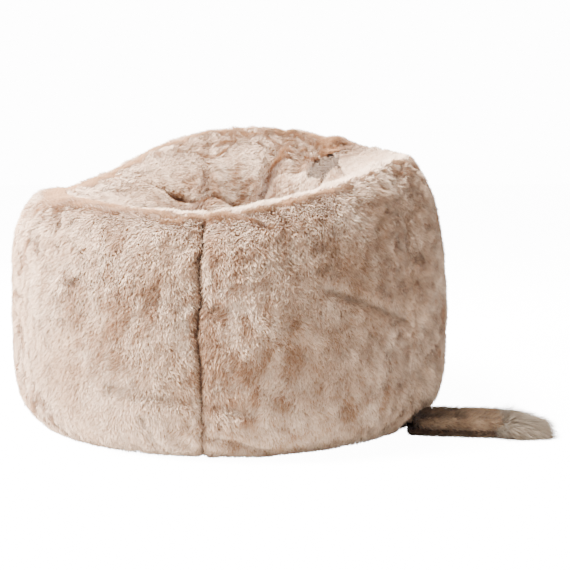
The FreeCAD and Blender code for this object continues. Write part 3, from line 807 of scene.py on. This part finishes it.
class Scatter:
    """Stands a pile's blades on a skin, combed along the skin's `comb` attribute."""

    def __init__(self, pile: Pile) -> None:
        self.pile = pile
        self.blade = pile.blade()

    def grow(
        self,
        skin: Object,
        name: str,
        count: int,
        seed: int,
        stations: Band = None,
    ) -> Object:
        """Cover a skin, or a band of it, with blades.

        Args:
            skin: the mesh with `comb`, `nap`, `crease` (painted shade) and `mottle` on its points.
            name: name of the new piece.
            count: about how many blades to stand.
            seed: number that fixes the scatter.
            stations: only cover this band of the `station` attribute.

        Returns:
            The blades as one mesh piece.
        """
        area = self.area(skin.data, stations)
        grown = add_object(name, skin.data.copy())
        step = grown.modifiers.new("pile", "NODES")
        step.node_group = self.nodes(name, count / area, seed, stations, math.ceil(math.sqrt(count * 1.1)))
        settled(grown)
        points = places(grown.data)
        points[:, 2] = np.maximum(points[:, 2], LOWEST_PILE)
        place(grown.data, points)
        for spent in ("strand", "serial", "turn", "station", "out", "comb", "nap", "gore"):
            layer = grown.data.attributes.get(spent)
            if layer is not None:
                grown.data.attributes.remove(layer)
        LOG.info("%s: %d faces", name, len(grown.data.polygons))
        return grown

    @staticmethod
    def area(mesh: Mesh, stations: Band) -> float:
        """Area of the covered band, in square metres."""
        if stations is None:
            return sum(f.area for f in mesh.polygons)
        station = values(mesh, "station")
        inside = (station >= stations[0]) & (station < stations[1])
        return sum(f.area for f in mesh.polygons if inside[f.vertices[0]])

    def nodes(
        self,
        name: str,
        density: float,
        seed: int,
        stations: Band,
        cells: int,
    ) -> NodeTree:
        """Build the scatter's node tree.

        Args:
            name: name of the tree.
            density: blades per square metre.
            seed: number that fixes the scatter.
            stations: band of the `station` attribute to cover, or None for all.
            cells: how many blades lie side by side in the bake layout.

        Returns:
            The node tree.
        """
        tree = bpy.data.node_groups.new(name, "GeometryNodeTree")
        for way in ("INPUT", "OUTPUT"):
            tree.interface.new_socket("Geometry", in_out=way, socket_type="NodeSocketGeometry")
        nodes = Nodes(tree)

        def stored(attribute: str, kind: str) -> NodeSocket:
            named = nodes.add("GeometryNodeInputNamedAttribute", {"Name": attribute}, data_type=kind)
            return named.outputs["Attribute"]

        def random(low: object, high: object, kind: str, salt: int) -> NodeSocket:
            made = nodes.add("FunctionNodeRandomValue", {"Seed": seed + salt}, data_type=kind)
            mine = [s for s in made.inputs if s.enabled]
            nodes.feed(mine[0], low)
            nodes.feed(mine[1], high)
            return [s for s in made.outputs if s.enabled][0]

        def store(attribute: str, kind: str, domain: str, value: object, geometry: object) -> object:
            inputs = {"Name": attribute, "Geometry": geometry, "Value": value}
            made = nodes.add("GeometryNodeStoreNamedAttribute", inputs, data_type=kind, domain=domain)
            return made.outputs["Geometry"]

        source = nodes.add("NodeGroupInput").outputs[0]
        sown = {"Mesh": source, "Density": density, "Seed": seed}
        scatter = nodes.add("GeometryNodeDistributePointsOnFaces", sown, distribute_method="RANDOM")
        if stations is not None:
            station = stored("station", "FLOAT")
            above = nodes.maths("GREATER_THAN", station, stations[0] - 1e-6)
            below = nodes.maths("LESS_THAN", station, stations[1])
            nodes.feed(scatter.inputs["Selection"], nodes.maths("MULTIPLY", above, below))
        align = "FunctionNodeAlignRotationToVector"
        stand = nodes.add(align, {"Vector": scatter.outputs["Normal"]}, axis="Z").outputs[0]
        lie = {"Rotation": stand, "Vector": stored("comb", "FLOAT_VECTOR")}
        comb = nodes.add(align, lie, axis="X", pivot_axis="Z").outputs[0]
        spread = self.pile.spread
        least = (-0.5 * spread, -0.4 * spread, -spread)
        most = (0.5 * spread, 0.6 * spread, spread)
        turned = nodes.add("FunctionNodeEulerToRotation", {0: random(least, most, "FLOAT_VECTOR", 1)})
        both = {0: comb, 1: turned.outputs[0]}
        tousle = nodes.add("FunctionNodeRotateRotation", both, rotation_space="LOCAL").outputs[0]
        length = random(self.pile.shortest, self.pile.longest, "FLOAT", 2)
        size = nodes.maths("MULTIPLY", stored("nap", "FLOAT"), length)
        girth = random(0.8, 1.2, "FLOAT", 3)
        stretch = nodes.add("ShaderNodeCombineXYZ", {"X": size, "Y": girth, "Z": size}).outputs[0]
        blade = nodes.add("GeometryNodeObjectInfo", {"Object": self.blade}).outputs["Geometry"]
        spots = scatter.outputs["Points"]
        set_out = {"Points": spots, "Instance": blade, "Rotation": tousle, "Scale": stretch}
        stood = nodes.add("GeometryNodeInstanceOnPoints", set_out).outputs[0]
        toned = store("tone", "FLOAT", "INSTANCE", random(0.0, 1.0, "FLOAT", 4), stood)
        index = nodes.add("GeometryNodeInputIndex").outputs[0]
        serial = store("serial", "FLOAT", "INSTANCE", index, toned)
        real = nodes.add("GeometryNodeRealizeInstances", {0: serial}).outputs[0]
        number = stored("serial", "FLOAT")
        strand = nodes.add("ShaderNodeSeparateXYZ", {0: stored("strand", "FLOAT_VECTOR")}).outputs
        column = nodes.maths("MODULO", number, cells)
        row = nodes.maths("FLOOR", nodes.maths("DIVIDE", number, cells))
        across = nodes.maths("ADD", nodes.maths("MULTIPLY", strand["X"], 0.6), 0.2)
        along = nodes.maths("ADD", nodes.maths("MULTIPLY", strand["Y"], 0.7), 0.15)
        x = nodes.maths("DIVIDE", nodes.maths("ADD", column, across), cells)
        y = nodes.maths("DIVIDE", nodes.maths("ADD", row, along), cells)
        layout = nodes.add("ShaderNodeCombineXYZ", {"X": x, "Y": y}).outputs[0]
        nodes.add("NodeGroupOutput", {0: store("OFBake", "FLOAT2", "CORNER", layout, real)})
        return tree


# ---- materials


def empty_material(
    name: str, roughness: float, sheen: float = 0.0
) -> tuple[Material, Nodes, Node]:
    """A material with a bare Principled shader.

    Returns:
        The material, its node helper and the Principled node.
    """
    made = bpy.data.materials.new(name)
    made.use_nodes = True
    shader = made.node_tree.nodes["Principled BSDF"]
    shader.inputs["Roughness"].default_value = roughness
    shader.inputs["Sheen Weight"].default_value = sheen
    shader.inputs["Specular IOR Level"].default_value = 0.25
    return made, Nodes(made.node_tree), shader


@dataclass(frozen=True)
class FurTone:
    """Colours of a kind of fur; the last one, `seam`, is its painted shade colour."""

    name: str
    pale: Colour
    mid: Colour
    brown: Colour
    root: Colour
    # painted shade colour, mixed in by the `crease` attribute
    seam: Colour

    def group(self) -> NodeTree:
        """Node group that turns the pile's attributes into a colour, painted shade and a painted crest
        highlight included.
        """
        tree = bpy.data.node_groups.new("tone_" + self.name, "ShaderNodeTree")
        tree.interface.new_socket("Color", in_out="OUTPUT", socket_type="NodeSocketColor")
        nodes = Nodes(tree)
        here = nodes.add("ShaderNodeTexCoord").outputs["Object"]
        tip, tone = nodes.attribute("tip"), nodes.attribute("tone")
        crease, mottle = nodes.attribute("crease"), nodes.attribute("mottle")
        cloudy = nodes.ramp(nodes.noise(here, 9.0), 0.35, 0.70)
        fleck = nodes.ramp(nodes.noise(here, 70.0, 2.0), 0.35, 0.65)
        ground = nodes.mix(nodes.maths("MULTIPLY", cloudy, 0.55), self.pale, self.mid)
        ground = nodes.mix(nodes.maths("MULTIPLY", fleck, 0.35), ground, self.mid)
        strand = nodes.ramp(tone, 0.62, 1.0)
        ground = nodes.mix(nodes.maths("MULTIPLY", strand, 0.55), ground, self.root)
        uneven = nodes.maths("ADD", nodes.maths("MULTIPLY", tone, 0.6), 0.55)
        # Brown spots: the fur's own brown tips, plus painted shade in hollows and on shaded sides.
        browned = nodes.maths("MULTIPLY", mottle, uneven)
        ground = nodes.mix(nodes.maths("MINIMUM", browned, 0.95), ground, self.brown)
        # Painted highlight along the crest: paler pile and lighter roots.
        parting = nodes.attribute("parting")
        ground = nodes.mix(nodes.maths("MULTIPLY", parting, 0.6), ground, self.pale)
        shade = nodes.maths("SUBTRACT", 1.0, tip)
        rooted = nodes.maths("MULTIPLY", shade, nodes.maths("MULTIPLY_ADD", parting, -0.42, 0.55))
        ground = nodes.mix(rooted, ground, self.root)
        # Painted shade: seam grooves, the foot, creases and hollows turn towards the painted shade colour
        # `seam`.
        ground = nodes.mix(nodes.maths("MULTIPLY", crease, 0.85), ground, self.seam)
        nodes.add("NodeGroupOutput", {0: ground})
        return tree

    def material(self, sheen: float = 0.15) -> Material:
        """The fur's material."""
        made, nodes, shader = empty_material(self.name, 0.85, sheen)
        colour = nodes.add("ShaderNodeGroup", node_tree=self.group())
        nodes.feed(shader.inputs["Base Color"], colour.outputs[0])
        return made


@dataclass(frozen=True)
class WovenCloth:
    """Plain woven cloth in one colour, with its threads in the bump."""

    name: str
    colour: Colour
    second: Colour
    thread: float = 0.0012
    roughness: float = 0.85

    def material(self) -> Material:
        """The cloth's material."""
        made, nodes, shader = empty_material(self.name, self.roughness)
        here = nodes.add("ShaderNodeTexCoord").outputs["Object"]
        bands = {"Scale": BAND_SCALE / self.thread, "Vector": here}
        weave, cross = [
            nodes.add("ShaderNodeTexWave", bands, wave_type="BANDS", bands_direction=way).outputs["Fac"]
            for way in ("X", "Y")
        ]
        threads = nodes.maths("MULTIPLY", weave, cross)
        worn = nodes.ramp(nodes.noise(here, 14.0), 0.3, 0.7)
        nodes.feed(shader.inputs["Base Color"], nodes.mix(worn, self.colour, self.second))
        bump = nodes.add("ShaderNodeBump", {"Strength": 0.35, "Distance": 0.0006, "Height": threads})
        nodes.feed(shader.inputs["Normal"], bump.outputs[0])
        return made


@dataclass(frozen=True)
class Plain:
    """An even finish: plastic, metal or beads."""

    name: str
    colour: Colour
    roughness: float = 0.5
    metallic: float = 0.0

    def material(self) -> Material:
        """The finish's material."""
        made, _, shader = empty_material(self.name, self.roughness)
        shader.inputs["Base Color"].default_value = self.colour
        shader.inputs["Metallic"].default_value = self.metallic
        return made


# The last colour of each fur, `seam`, is painted shade for seam grooves, creases, hollows and shaded
# undersides.
FUR = FurTone(
    "plush_cream", linear(240, 216, 192), linear(208, 172, 140), linear(146, 106, 76), linear(158, 120, 90),
    linear(92, 62, 42),
)
STRAP_FUR = FurTone(
    "plush_strap", linear(190, 160, 130), linear(160, 130, 102), linear(112, 84, 62), linear(104, 80, 62),
    linear(62, 44, 34),
)
TIP_FUR = FurTone(
    "plush_tip", linear(200, 184, 164), linear(172, 154, 134), linear(132, 114, 96), linear(108, 92, 78),
    linear(90, 76, 66),
)


class Finishes:
    """All materials, made once, by slot."""

    def __init__(self) -> None:
        kinds = {
            Slot.FUR: FUR,
            Slot.FUR_STRAP: STRAP_FUR,
            Slot.FUR_TIP: TIP_FUR,
            Slot.BASE: WovenCloth("base_weave", linear(62, 52, 46), linear(50, 42, 37)),
            Slot.PIPING: WovenCloth("piping_weave", linear(72, 56, 46), linear(58, 45, 37), 0.0009),
            Slot.BINDING: WovenCloth("binding_weave", linear(120, 98, 80), linear(104, 84, 68), 0.0009),
            Slot.TAPE: WovenCloth("tape_weave", linear(58, 48, 42), linear(48, 40, 35), 0.0008),
            Slot.COIL: Plain("coil_nylon", linear(44, 38, 34), 0.35),
            Slot.METAL: Plain("zip_zinc", linear(150, 148, 144), 0.32, 1.0),
            Slot.LINER: WovenCloth("liner_weave", linear(226, 222, 214), linear(214, 209, 200), 0.0009),
            Slot.BEADS: Plain("bead_foam", linear(240, 240, 238), 0.7),
            Slot.WEBBING: WovenCloth("webbing_weave", linear(88, 70, 56), linear(76, 60, 48), 0.0016),
            Slot.LABEL: WovenCloth("label_satin", linear(228, 224, 216), linear(220, 215, 206), 0.0006, 0.5),
        }
        self.made = {slot: kind.material() for slot, kind in kinds.items()}

    def dress(self, obj: Object, slot: Slot) -> Object:
        """Give a piece its only material, the one made for its slot."""
        obj.data.materials.clear()
        obj.data.materials.append(self.made[slot])
        return obj


# ---- bag


PLUSH = Pile("plush")


@dataclass(frozen=True)
class BagCover:
    """The plush cover: six skins, their pile and the crown."""

    wall_blades: int = 53000
    top_blades: int = 31000
    crown_blades: int = 3500
    band: float = 1.82
    tape_half_width: float = 0.010
    tape_depth: float = 0.013
    crown_overlap: float = 0.002
    crown_rings: int = 3

    def build(self, finishes: Finishes, outline: BagOutline) -> Object:
        """Make the whole cover.

        Returns:
            The simulated cover shell, for the inner bags to follow.
        """
        body = BodySkin(outline, SkinSize(), ClothRun())
        cover = body.build()
        scatter = Scatter(PLUSH)
        for index, name in enumerate(body.NAMES):
            skin = body.panel(cover, index)
            wall = ("wall", self.wall_blades, (0.10, self.band))
            top = ("top", self.top_blades, (self.band, 3.1))
            for part, count, stations in (wall, top):
                grown = scatter.grow(skin, f"pile_{name}_{part}", count, 10 * index + len(part), stations)
                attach(finishes.dress(grown, Slot.FUR), "bag")
            finishes.dress(skin, Slot.FUR)
            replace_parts(skin, "cover_panel_" + name)
            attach(skin, "bag")
        self.bindings(finishes, outline, cover)
        self.crown(finishes, outline, scatter)
        bpy.data.objects.remove(scatter.blade)
        return cover

    def bindings(self, finishes: Finishes, outline: BagOutline, cover: Object) -> None:
        """The tapes that bind the seam allowances, just inside the skin."""
        tape = bmesh.new()
        tape.from_mesh(cover.data)
        turn_of = tape.verts.layers.float["turn"]
        station_of = tape.verts.layers.float["station"]

        def keeps(vert: bmesh.types.BMVert) -> bool:
            away = outline.seam_distance(np.array([vert[turn_of]]), np.array([vert[station_of]]))[0]
            return away < self.tape_half_width and 0.05 < vert[station_of] < 2.97

        others = [f for f in tape.faces if len(f.verts) > 4 or not all(keeps(v) for v in f.verts)]
        bmesh.ops.delete(tape, geom=others, context="FACES")
        mesh = as_mesh(tape, "seam_tapes")
        place(mesh, places(mesh) - read_vectors(mesh, "out") * self.tape_depth)
        tapes = add_object("seam_tapes", mesh)
        finishes.dress(tapes, Slot.BINDING)
        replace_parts(tapes, "seam_bindings")
        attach(tapes, "bag")

    def crown(self, finishes: Finishes, outline: BagOutline, scatter: Scatter) -> None:
        """The small round patch that the six gores meet at."""
        disc = bmesh.new()
        edge = outline.crown_radius + self.crown_overlap
        bmesh.ops.create_circle(disc, cap_ends=True, cap_tris=False, segments=48, radius=edge)
        inner = disc.faces[:]
        for _ in range(self.crown_rings):
            bmesh.ops.inset_region(disc, faces=inner, thickness=outline.crown_radius * 0.26)
            inner = [min(disc.faces, key=lambda f: (f.calc_center_median().length, -len(f.verts)))]
        mesh = as_mesh(disc, "skin_crown")
        points = places(mesh)
        x, y = points[:, 0] + outline.crown[0], points[:, 1] + outline.crown[1]
        away = np.hypot(points[:, 0], points[:, 1]) / outline.crown_radius
        height = outline.seat_height(x, y) - 0.004 + 0.006 * (1 - np.minimum(away, 1) ** 2)
        place(mesh, np.stack([x, y, height], axis=1))
        count = len(mesh.vertices)
        side = np.stack([-np.ones(count), -0.6 * np.ones(count), np.zeros(count)], axis=1)
        keep(mesh, comb=unit(side))
        keep(mesh, nap=0.95 * np.ones(count))
        # Painted shade over the crown patch, deep in the seat, growing towards its edge.
        keep(mesh, crease=0.35 + 0.3 * smooth(0.6, 1.0, away))
        keep(mesh, mottle=0.2 * np.ones(count))
        patch = add_object("skin_crown", mesh)
        shade_smooth(mesh)
        grown = scatter.grow(patch, "pile_crown", self.crown_blades, 71)
        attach(finishes.dress(grown, Slot.FUR), "bag")
        finishes.dress(patch, Slot.FUR)
        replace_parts(patch, "crown_patch")
        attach(patch, "bag")
        LOG.info("crown patch made")


@dataclass(frozen=True)
class InnerBag:
    """The liner and its filling, which follow the cover at a depth."""

    wall_depth: float = 0.021
    fill_depth: float = 0.026

    def build(self, finishes: Finishes, cover: Object) -> None:
        """Make the liner's wall and the bead filling from the cover's simulated form."""
        wall = self.inset(cover, "liner_bag", self.wall_depth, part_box("liner_wall")[0].z)
        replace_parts(finishes.dress(wall, Slot.LINER), "liner_wall")
        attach(wall, "bag")
        beads = self.inset(cover, "bead_mass", self.fill_depth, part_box("bead_fill")[0].z)
        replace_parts(finishes.dress(beads, Slot.BEADS), "bead_fill")
        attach(beads, "bag")

    @staticmethod
    def inset(cover: Object, name: str, depth: float, floor: float) -> Object:
        """Copy the cover, sunk along its outward direction and lifted off the base.

        Args:
            cover: the closed, simulated cover.
            name: the new piece's name.
            depth: how far inside the cover's skin it lies.
            floor: the lowest height it may reach.

        Returns:
            The closed inner piece.
        """
        made = add_object(name, cover.data.copy())
        mesh = made.data
        points = places(mesh) - read_vectors(mesh, "out") * depth
        points[:, 2] = np.maximum(points[:, 2], floor)
        place(mesh, points)
        shade_smooth(mesh)
        return made


# ---- drag strap


@dataclass(frozen=True)
class StrapPiece:
    """One stuffed, fur-covered piece of the strap, in the strap's own frame."""

    name: str
    start: float
    end: float
    low: float
    high: float
    near_width: float
    far_width: float
    round_edge: float
    pile: Pile
    blades: int
    slot: Slot
    far_low: float | None = None
    far_high: float | None = None
    # painted shade over the whole piece, 0 to 1
    shade: float = 0.0


class DragStrap:
    """The doubled drag strap that lies on the floor beside the bag and lifts about its stitched root."""

    turn = math.radians(-9)
    root_turn = math.radians(-37)
    hinge = 0.1133
    hinge_height = 0.0175
    bend_before = 0.030
    bend_after = 0.025

    def __init__(self, finishes: Finishes, outline: BagOutline) -> None:
        self.finishes = finishes
        base = Vector((math.cos(self.root_turn), math.sin(self.root_turn), 0.0)) * outline.base_radius
        self.to_world = Matrix.Translation(base) @ Matrix.Rotation(self.turn, 4, "Z")

    def at(self, along: float, across: float, height: float) -> Vector:
        """A place in the strap's frame, in the row frame."""
        return self.to_world @ Vector((along, across, height))

    def skin(self, piece: StrapPiece) -> Object:
        """Make one piece's padded skin: a rounded block, softened and creased."""
        block = bmesh.new()
        bmesh.ops.create_cube(block, size=1.0)
        length = piece.end - piece.start
        bmesh.ops.scale(block, vec=(length, piece.near_width, piece.high - piece.low), verts=block.verts)
        edges = block.edges[:]
        bmesh.ops.bevel(block, geom=edges, offset=piece.round_edge, segments=3, profile=0.5, affect="EDGES")
        long_edges = [e for e in block.edges if e.calc_length() > 0.02]
        bmesh.ops.subdivide_edges(block, edges=long_edges, cuts=11, use_grid_fill=True)
        mesh = as_mesh(block, "skin_" + piece.name)
        points = places(mesh)
        share = np.clip(points[:, 0] / length + 0.5, 0, 1)
        points[:, 0] += piece.start + length / 2
        points[:, 1] *= 1 + (piece.far_width / piece.near_width - 1) * share**1.5
        thick = (points[:, 2] / (piece.high - piece.low)) + 0.5
        far_low = piece.low if piece.far_low is None else piece.far_low
        far_high = piece.high if piece.far_high is None else piece.far_high
        low = piece.low + (far_low - piece.low) * share
        high = piece.high + (far_high - piece.high) * share
        points[:, 2] = low + (high - low) * thick
        edge = np.clip(1 - np.abs(points[:, 1]) / (piece.near_width / 2), 0, 1)
        wave = grain(points * np.array([1, 1, 0.2]), 0.035, len(piece.name)) * 0.0022
        points[:, 2] += wave * edge * np.where(thick > 0.5, 1.0, 0.3)
        place(mesh, points)
        made = subdivided(add_object("skin_" + piece.name, mesh), 1)
        self.note_nap(made.data, piece)
        made.data.transform(self.to_world)
        comb = np.array(self.to_world.to_3x3())
        lie = read(made.data.attributes["comb"].data, "vector", 3)
        keep(made.data, comb=lie @ comb.T)
        return made

    @staticmethod
    def note_nap(mesh: Mesh, piece: StrapPiece) -> None:
        """Comb the pile along the strap, fanning out at its sides."""
        points = places(mesh)
        across = points[:, 1] / (piece.near_width / 2)
        swirl = 0.5 * grain(points, 0.03, 2.5) + 0.35 * across
        droop = 0.05 + 0.5 * smooth(0.24, 0.32, points[:, 0])
        comb = np.stack([np.cos(swirl), np.sin(swirl), -droop], axis=1)
        keep(mesh, comb=unit(comb))
        # Painted shade on the underside near the floor and where the strap tucks in at its root; the pile
        # there is also shorter.
        under = smooth(0.006, 0.0, points[:, 2])
        tucked = smooth(0.10, 0.05, points[:, 0])
        keep(mesh, nap=(1 - 0.75 * under) * (1 - 0.4 * tucked))
        keep(mesh, crease=np.clip(piece.shade + 0.6 * under + 0.7 * tucked, 0, 1))
        keep(mesh, mottle=np.clip(0.35 + 0.9 * grain(points, 0.025, 6.5), 0, 1))
        shade_smooth(mesh)

    def build(self) -> None:
        """Make all pieces of the strap."""
        short = Pile("strap", length=0.016, width=0.0021, lean=0.85, spread=0.6, shortest=0.55)
        under = Pile("strap_under", length=0.010, width=0.0021, lean=0.8, spread=0.6)
        curl = Pile("curl", length=0.018, width=0.0018, lean=1.0, spread=0.5, shortest=0.6)
        long = Pile("tip", length=0.034, width=0.0016, lean=1.0, spread=0.45, shortest=0.45)
        pieces = (
            # The lower ply is painted in shadow under the upper one; the fold gets light painted shade.
            StrapPiece("lower_ply", 0.045, 0.236, 0.0030, 0.0150, 0.090, 0.092, 0.0055, under, 14000,
                       Slot.FUR_STRAP, shade=0.75),
            StrapPiece("upper_ply", 0.060, 0.244, 0.0210, 0.0400, 0.088, 0.090, 0.0085, short, 18000,
                       Slot.FUR_STRAP, shade=0.0),
            StrapPiece("fold", 0.232, 0.266, 0.0040, 0.0360, 0.090, 0.084, 0.0120, curl, 9000,
                       Slot.FUR_TIP, shade=0.25),
            StrapPiece("tip", 0.254, 0.334, 0.0040, 0.0340, 0.080, 0.046, 0.0090, long, 14000,
                       Slot.FUR_TIP, 0.0030, 0.0120),
        )
        for piece in pieces:
            scatter = Scatter(piece.pile)
            skin = self.skin(piece)
            grown = scatter.grow(skin, "pile_" + piece.name, piece.blades, 80 + len(piece.name))
            bpy.data.objects.remove(scatter.blade)
            self.finishes.dress(grown, piece.slot)
            self.finishes.dress(skin, piece.slot)
            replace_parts(skin, "strap_" + piece.name)
            for made in (skin, grown):
                if piece.start < self.hinge:
                    start = self.at(self.hinge - self.bend_before, 0, self.hinge_height)
                    end = self.at(self.hinge + self.bend_after, 0, self.hinge_height)
                    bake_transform(made, "bag", "drag_strap", start=start, end=end)
                else:
                    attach(made, "drag_strap")


# ---- hardware and cloth parts from the frame


FRAME_FINISHES = {
    Slot.BASE: ("base_panel_front", "base_panel_rear"),
    Slot.PIPING: ("base_welt",),
    Slot.TAPE: tuple(f"{bag}_zip_tape_{end}" for bag in ("cover", "liner") for end in ("front", "rear")),
    Slot.COIL: (
        *(f"{bag}_zip_coil_{end}" for bag in ("cover", "liner") for end in ("front", "rear")),
        "liner_zip_slider",
        "liner_zip_stops",
    ),
    Slot.METAL: ("cover_zip_slider", "cover_zip_stops", "cover_zip_pull"),
    Slot.LINER: ("liner_base",),
    Slot.WEBBING: ("strap_anchor", "strap_webbing"),
    Slot.LABEL: ("care_label",),
}


# ---- studio


@dataclass(frozen=True)
class Lamp:
    """One soft area lamp aimed at a place."""

    name: str
    at: tuple[float, float, float]
    aim: tuple[float, float, float]
    size: float
    power: float
    colour: tuple[float, float, float] = (1.0, 1.0, 1.0)

    def build(self) -> None:
        """Add the lamp."""
        light = bpy.data.lights.new(self.name, "AREA")
        light.shape = "DISK"
        light.size = self.size
        light.energy = self.power
        light.color = self.colour
        made = bpy.data.objects.new(self.name, light)
        made.location = self.at
        made.rotation_euler = (Vector(self.aim) - Vector(self.at)).to_track_quat("-Z", "Y").to_euler()
        bpy.context.scene.collection.objects.link(made)


@dataclass(frozen=True)
class Studio:
    """Pale floor, soft light from the upper left, and the camera."""

    camera_at: tuple[float, float, float] = (0.0, -2.58, 0.63)
    down: float = 7.46
    right: float = 2.902
    lens: float = 68.5
    sky: float = 0.36
    backdrop: float = 14.0
    paper_glow: float = 13.0
    lamps: tuple[Lamp, ...] = (
        Lamp("key", (-3.0, -0.75, 1.9), (-0.05, 0.0, 0.35), 1.2, 600.0, (1.0, 0.96, 0.91)),
        Lamp("fill", (2.6, -2.0, 1.4), (0.1, 0.0, 0.3), 1.6, 26.0, (1.0, 0.96, 0.92)),
        Lamp("top", (-0.7, -0.2, 2.7), (0.0, 0.1, 0.4), 1.2, 380.0, (1.0, 0.97, 0.93)),
    )

    def build(self) -> None:
        """Add the floor, sky, lamps and camera."""
        ground = bmesh.new()
        bmesh.ops.create_grid(ground, x_segments=1, y_segments=1, size=14.0)
        floor = add_object("floor", as_mesh(ground, "floor"))
        made, _, shader = empty_material("floor_paper", 0.9)
        shader.inputs["Base Color"].default_value = linear(252, 252, 252)
        shader.inputs["Emission Color"].default_value = (1.0, 1.0, 1.0, 1.0)
        paper = Nodes(made.node_tree)
        seen = paper.add("ShaderNodeLightPath").outputs["Is Camera Ray"]
        paper.feed(shader.inputs["Emission Strength"], paper.maths("MULTIPLY", seen, self.paper_glow))
        floor.data.materials.append(made)
        world = bpy.data.worlds.new("studio")
        world.use_nodes = True
        sky = world.node_tree.nodes["Background"]
        sky.inputs[0].default_value = (1.0, 1.0, 1.0, 1.0)
        nodes = Nodes(world.node_tree)
        seen = nodes.add("ShaderNodeLightPath").outputs["Is Camera Ray"]
        nodes.feed(sky.inputs[1], nodes.maths("MULTIPLY_ADD", seen, self.backdrop - self.sky, self.sky))
        bpy.context.scene.world = world
        for lamp in self.lamps:
            lamp.build()
            LOG.info("lamp %s", lamp.name)
        view = bpy.data.cameras.new("camera")
        view.lens = self.lens
        view.sensor_width = 36.0
        view.dof.use_dof = False
        camera = bpy.data.objects.new("camera", view)
        camera.location = self.camera_at
        camera.rotation_euler = (math.radians(90 - self.down), 0.0, math.radians(-self.right))
        bpy.context.scene.collection.objects.link(camera)
        bpy.context.scene.camera = camera


def main() -> None:
    """Build the bag's looks around the frame."""
    logging.basicConfig(level=logging.INFO, format="%(message)s")
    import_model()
    finishes = Finishes()
    outline = BagOutline()
    for slot, nodes in FRAME_FINISHES.items():
        for name in nodes:
            finishes.dress(bpy.data.objects[name], slot)
            LOG.info("dressed %s", name)
    cover = BagCover().build(finishes, outline)
    InnerBag().build(finishes, cover)
    bpy.data.objects.remove(cover)
    DragStrap(finishes, outline).build()
    Studio().build()


if __name__ == "__main__":
    main()
